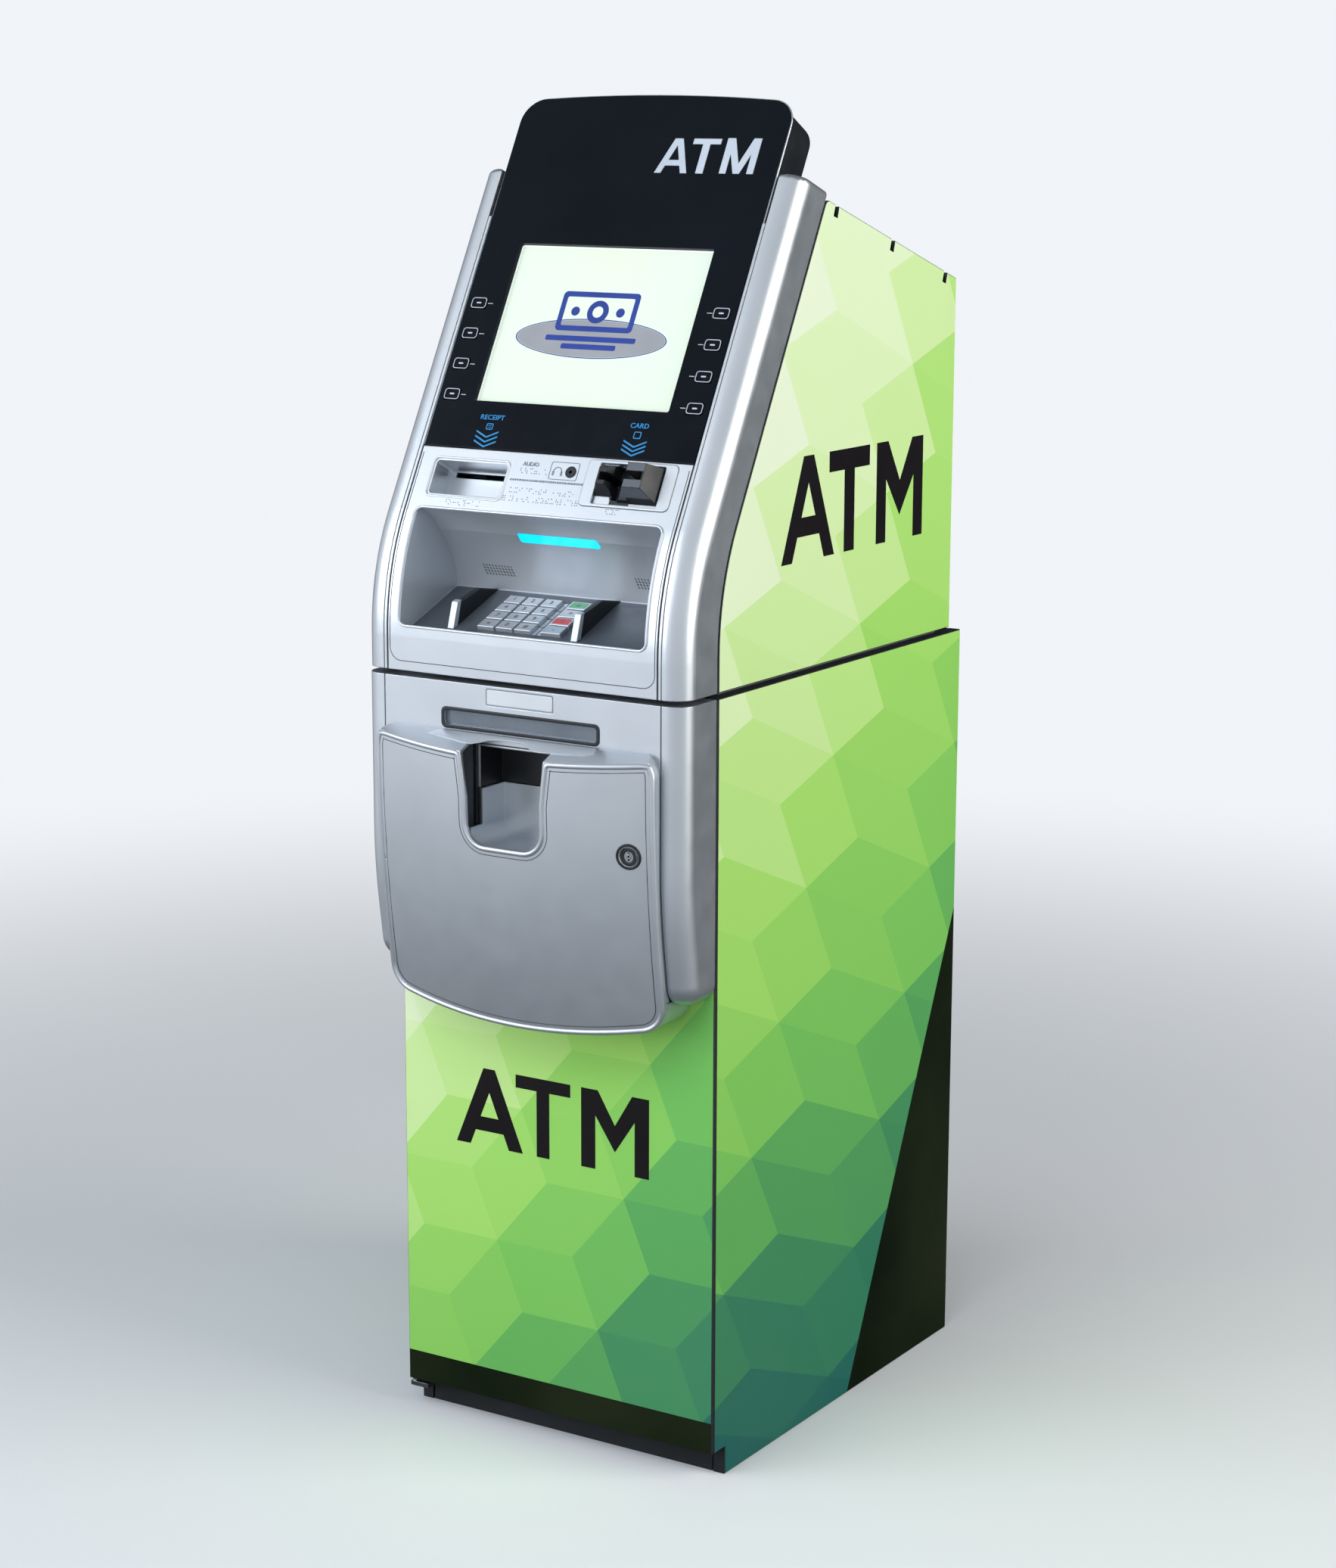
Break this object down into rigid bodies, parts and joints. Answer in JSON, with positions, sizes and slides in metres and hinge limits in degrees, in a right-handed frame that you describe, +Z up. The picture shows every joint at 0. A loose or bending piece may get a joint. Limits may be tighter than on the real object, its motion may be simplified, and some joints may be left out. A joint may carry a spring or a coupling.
{
  "type": "atm machine",
  "caption": "Free-standing cash machine: slim safe base with a cash pick-up tray behind a shield-shaped cover, and a leaning upper door with screen, keypad, card slot and header.",
  "frame": {"origin": "centre of the four floor anchor holes, on the floor", "axes": "+Z up, the customer's side faces -Y, +X to the customer's right"},
  "size_m": [0.4, 0.6342, 1.4446],
  "materials": {
    "dark_steel": "satin powder coat",
    "safe_steel": "matt paint",
    "bright_steel": "brushed",
    "green_wrap": "satin printed wrap",
    "grey_steel": "zinc plated",
    "dark_plastic": "fine texture",
    "paper": "matt",
    "silver_plastic": "satin silver paint",
    "black_gloss": "gloss",
    "screen": "lit screen behind glass",
    "recess_grey": "satin",
    "blue_light": "lit diffuser",
    "smoked_flap": "smoked",
    "key_metal": "satin",
    "key_green": "satin with green face",
    "key_red": "satin with red face"
  },
  "bodies": {
    "cabinet": {"plinth": "dark_steel", "vault_shell": "safe_steel", "hinge_pins": "bright_steel", "lower_side_panels": "green_wrap", "upper_side_panels": "green_wrap", "back_panels": "dark_steel", "top_cover": "dark_steel", "upper_chassis": "grey_steel", "note_dispenser": "grey_steel", "note_cassette": "dark_plastic", "receipt_printer": "dark_plastic", "electronics_box": "grey_steel", "mains_inlet": "dark_plastic"},
    "roll": {"paper_roll": "paper"},
    "upper_door": {"upper_fascia": "silver_plastic", "front_panel": "black_gloss", "header_housing": "dark_plastic", "display": "screen", "pin_recess": "recess_grey", "privacy_wings": "dark_plastic", "card_plate": "silver_plastic", "card_bezel": "black_gloss", "receipt_tray": "silver_plastic", "audio_jack": "dark_plastic", "light_bar": "blue_light"},
    "vault_door": {"vault_door_plate": "safe_steel", "door_skin": "green_wrap", "lower_fascia": "silver_plastic", "receptacle_frame": "silver_plastic", "cash_bucket": "silver_plastic"},
    "shutter": {"note_shutter": "smoked_flap"},
    "dial": {"vault_dial": "dark_plastic"},
    "lever": {"vault_lever": "bright_steel"},
    "bolts": {"bolt_bar": "bright_steel"},
    "cover": {"receptacle_cover": "silver_plastic"},
    "cover_lock": {"cover_lock": "bright_steel"},
    "pin_key_11": {"pin_key_11": "key_metal"},
    "pin_key_12": {"pin_key_12": "key_metal"},
    "pin_key_13": {"pin_key_13": "key_metal"},
    "pin_key_14": {"pin_key_14": "key_green"},
    "pin_key_21": {"pin_key_21": "key_metal"},
    "pin_key_22": {"pin_key_22": "key_metal"},
    "pin_key_23": {"pin_key_23": "key_metal"},
    "pin_key_24": {"pin_key_24": "key_metal"},
    "pin_key_31": {"pin_key_31": "key_metal"},
    "pin_key_32": {"pin_key_32": "key_metal"},
    "pin_key_33": {"pin_key_33": "key_metal"},
    "pin_key_34": {"pin_key_34": "key_red"},
    "pin_key_41": {"pin_key_41": "key_metal"},
    "pin_key_42": {"pin_key_42": "key_metal"},
    "pin_key_43": {"pin_key_43": "key_metal"},
    "pin_key_44": {"pin_key_44": "key_metal"},
    "soft_key_left_1": {"soft_key_left_1": "black_gloss"},
    "soft_key_left_2": {"soft_key_left_2": "black_gloss"},
    "soft_key_left_3": {"soft_key_left_3": "black_gloss"},
    "soft_key_left_4": {"soft_key_left_4": "black_gloss"},
    "soft_key_right_1": {"soft_key_right_1": "black_gloss"},
    "soft_key_right_2": {"soft_key_right_2": "black_gloss"},
    "soft_key_right_3": {"soft_key_right_3": "black_gloss"},
    "soft_key_right_4": {"soft_key_right_4": "black_gloss"}
  },
  "joints": [
    {"name": "upper_door_hinge", "type": "hinge", "parent": "cabinet", "child": "upper_door", "pos_m": [0, -0.046, 1.322], "axis": [-1, 0, 0], "range_deg": [0, 40]},
    {"name": "vault_door_hinge", "type": "hinge", "parent": "cabinet", "child": "vault_door", "pos_m": [-0.196, -0.263, 0.43], "axis": [0, 0, -1], "range_deg": [0, 90]},
    {"name": "paper_roll_spin", "type": "hinge", "parent": "cabinet", "child": "roll", "pos_m": [-0.1, -0.05, 1.1], "axis": [1, 0, 0], "continuous": true},
    {"name": "cover_hinge", "type": "hinge", "parent": "vault_door", "child": "cover", "pos_m": [-0.168, -0.3385, 0.7], "axis": [0, 0, -1], "range_deg": [0, 95]},
    {"name": "cover_lock_turn", "type": "hinge", "parent": "cover", "child": "cover_lock", "pos_m": [0.1455, -0.342, 0.6925], "axis": [0, -1, 0], "range_deg": [0, 90]},
    {"name": "shutter_slide", "type": "slide", "parent": "vault_door", "child": "shutter", "axis": [0, 0, 1], "range_m": [0, 0.0155]},
    {"name": "dial_turn", "type": "hinge", "parent": "vault_door", "child": "dial", "pos_m": [-0.07, -0.29, 0.61], "axis": [0, -1, 0], "continuous": true},
    {"name": "lever_turn", "type": "hinge", "parent": "vault_door", "child": "lever", "pos_m": [0.075, -0.29, 0.61], "axis": [0, -1, 0], "range_deg": [0, 90]},
    {"name": "bolt_slide", "type": "slide", "parent": "vault_door", "child": "bolts", "axis": [1, 0, 0], "range_m": [0, 0.015]},
    {"name": "pin_key_11_press", "type": "slide", "parent": "upper_door", "child": "pin_key_11", "axis": [0, 0.3648, -0.9311], "range_m": [0, 0.0015], "stiffness_N_per_m": 500, "springref_m": -0.001},
    {"name": "pin_key_12_press", "type": "slide", "parent": "upper_door", "child": "pin_key_12", "axis": [0, 0.3648, -0.9311], "range_m": [0, 0.0015], "stiffness_N_per_m": 500, "springref_m": -0.001},
    {"name": "pin_key_13_press", "type": "slide", "parent": "upper_door", "child": "pin_key_13", "axis": [0, 0.3648, -0.9311], "range_m": [0, 0.0015], "stiffness_N_per_m": 500, "springref_m": -0.001},
    {"name": "pin_key_14_press", "type": "slide", "parent": "upper_door", "child": "pin_key_14", "axis": [0, 0.3648, -0.9311], "range_m": [0, 0.0015], "stiffness_N_per_m": 500, "springref_m": -0.001},
    {"name": "pin_key_21_press", "type": "slide", "parent": "upper_door", "child": "pin_key_21", "axis": [0, 0.3648, -0.9311], "range_m": [0, 0.0015], "stiffness_N_per_m": 500, "springref_m": -0.001},
    {"name": "pin_key_22_press", "type": "slide", "parent": "upper_door", "child": "pin_key_22", "axis": [0, 0.3648, -0.9311], "range_m": [0, 0.0015], "stiffness_N_per_m": 500, "springref_m": -0.001},
    {"name": "pin_key_23_press", "type": "slide", "parent": "upper_door", "child": "pin_key_23", "axis": [0, 0.3648, -0.9311], "range_m": [0, 0.0015], "stiffness_N_per_m": 500, "springref_m": -0.001},
    {"name": "pin_key_24_press", "type": "slide", "parent": "upper_door", "child": "pin_key_24", "axis": [0, 0.3648, -0.9311], "range_m": [0, 0.0015], "stiffness_N_per_m": 500, "springref_m": -0.001},
    {"name": "pin_key_31_press", "type": "slide", "parent": "upper_door", "child": "pin_key_31", "axis": [0, 0.3648, -0.9311], "range_m": [0, 0.0015], "stiffness_N_per_m": 500, "springref_m": -0.001},
    {"name": "pin_key_32_press", "type": "slide", "parent": "upper_door", "child": "pin_key_32", "axis": [0, 0.3648, -0.9311], "range_m": [0, 0.0015], "stiffness_N_per_m": 500, "springref_m": -0.001},
    {"name": "pin_key_33_press", "type": "slide", "parent": "upper_door", "child": "pin_key_33", "axis": [0, 0.3648, -0.9311], "range_m": [0, 0.0015], "stiffness_N_per_m": 500, "springref_m": -0.001},
    {"name": "pin_key_34_press", "type": "slide", "parent": "upper_door", "child": "pin_key_34", "axis": [0, 0.3648, -0.9311], "range_m": [0, 0.0015], "stiffness_N_per_m": 500, "springref_m": -0.001},
    {"name": "pin_key_41_press", "type": "slide", "parent": "upper_door", "child": "pin_key_41", "axis": [0, 0.3648, -0.9311], "range_m": [0, 0.0015], "stiffness_N_per_m": 500, "springref_m": -0.001},
    {"name": "pin_key_42_press", "type": "slide", "parent": "upper_door", "child": "pin_key_42", "axis": [0, 0.3648, -0.9311], "range_m": [0, 0.0015], "stiffness_N_per_m": 500, "springref_m": -0.001},
    {"name": "pin_key_43_press", "type": "slide", "parent": "upper_door", "child": "pin_key_43", "axis": [0, 0.3648, -0.9311], "range_m": [0, 0.0015], "stiffness_N_per_m": 500, "springref_m": -0.001},
    {"name": "pin_key_44_press", "type": "slide", "parent": "upper_door", "child": "pin_key_44", "axis": [0, 0.3648, -0.9311], "range_m": [0, 0.0015], "stiffness_N_per_m": 500, "springref_m": -0.001},
    {"name": "soft_key_left_1_press", "type": "slide", "parent": "upper_door", "child": "soft_key_left_1", "axis": [0, 0.8771, -0.4802], "range_m": [0, 0.0012], "stiffness_N_per_m": 500, "springref_m": -0.001},
    {"name": "soft_key_left_2_press", "type": "slide", "parent": "upper_door", "child": "soft_key_left_2", "axis": [0, 0.8771, -0.4802], "range_m": [0, 0.0012], "stiffness_N_per_m": 500, "springref_m": -0.001},
    {"name": "soft_key_left_3_press", "type": "slide", "parent": "upper_door", "child": "soft_key_left_3", "axis": [0, 0.8771, -0.4802], "range_m": [0, 0.0012], "stiffness_N_per_m": 500, "springref_m": -0.001},
    {"name": "soft_key_left_4_press", "type": "slide", "parent": "upper_door", "child": "soft_key_left_4", "axis": [0, 0.8771, -0.4802], "range_m": [0, 0.0012], "stiffness_N_per_m": 500, "springref_m": -0.001},
    {"name": "soft_key_right_1_press", "type": "slide", "parent": "upper_door", "child": "soft_key_right_1", "axis": [0, 0.8771, -0.4802], "range_m": [0, 0.0012], "stiffness_N_per_m": 500, "springref_m": -0.001},
    {"name": "soft_key_right_2_press", "type": "slide", "parent": "upper_door", "child": "soft_key_right_2", "axis": [0, 0.8771, -0.4802], "range_m": [0, 0.0012], "stiffness_N_per_m": 500, "springref_m": -0.001},
    {"name": "soft_key_right_3_press", "type": "slide", "parent": "upper_door", "child": "soft_key_right_3", "axis": [0, 0.8771, -0.4802], "range_m": [0, 0.0012], "stiffness_N_per_m": 500, "springref_m": -0.001},
    {"name": "soft_key_right_4_press", "type": "slide", "parent": "upper_door", "child": "soft_key_right_4", "axis": [0, 0.8771, -0.4802], "range_m": [0, 0.0012], "stiffness_N_per_m": 500, "springref_m": -0.001}
  ],
  "couplings": [
    {"joint": "bolt_slide", "follows": "lever_turn", "m_per_rad": 0.0095397}
  ]
}
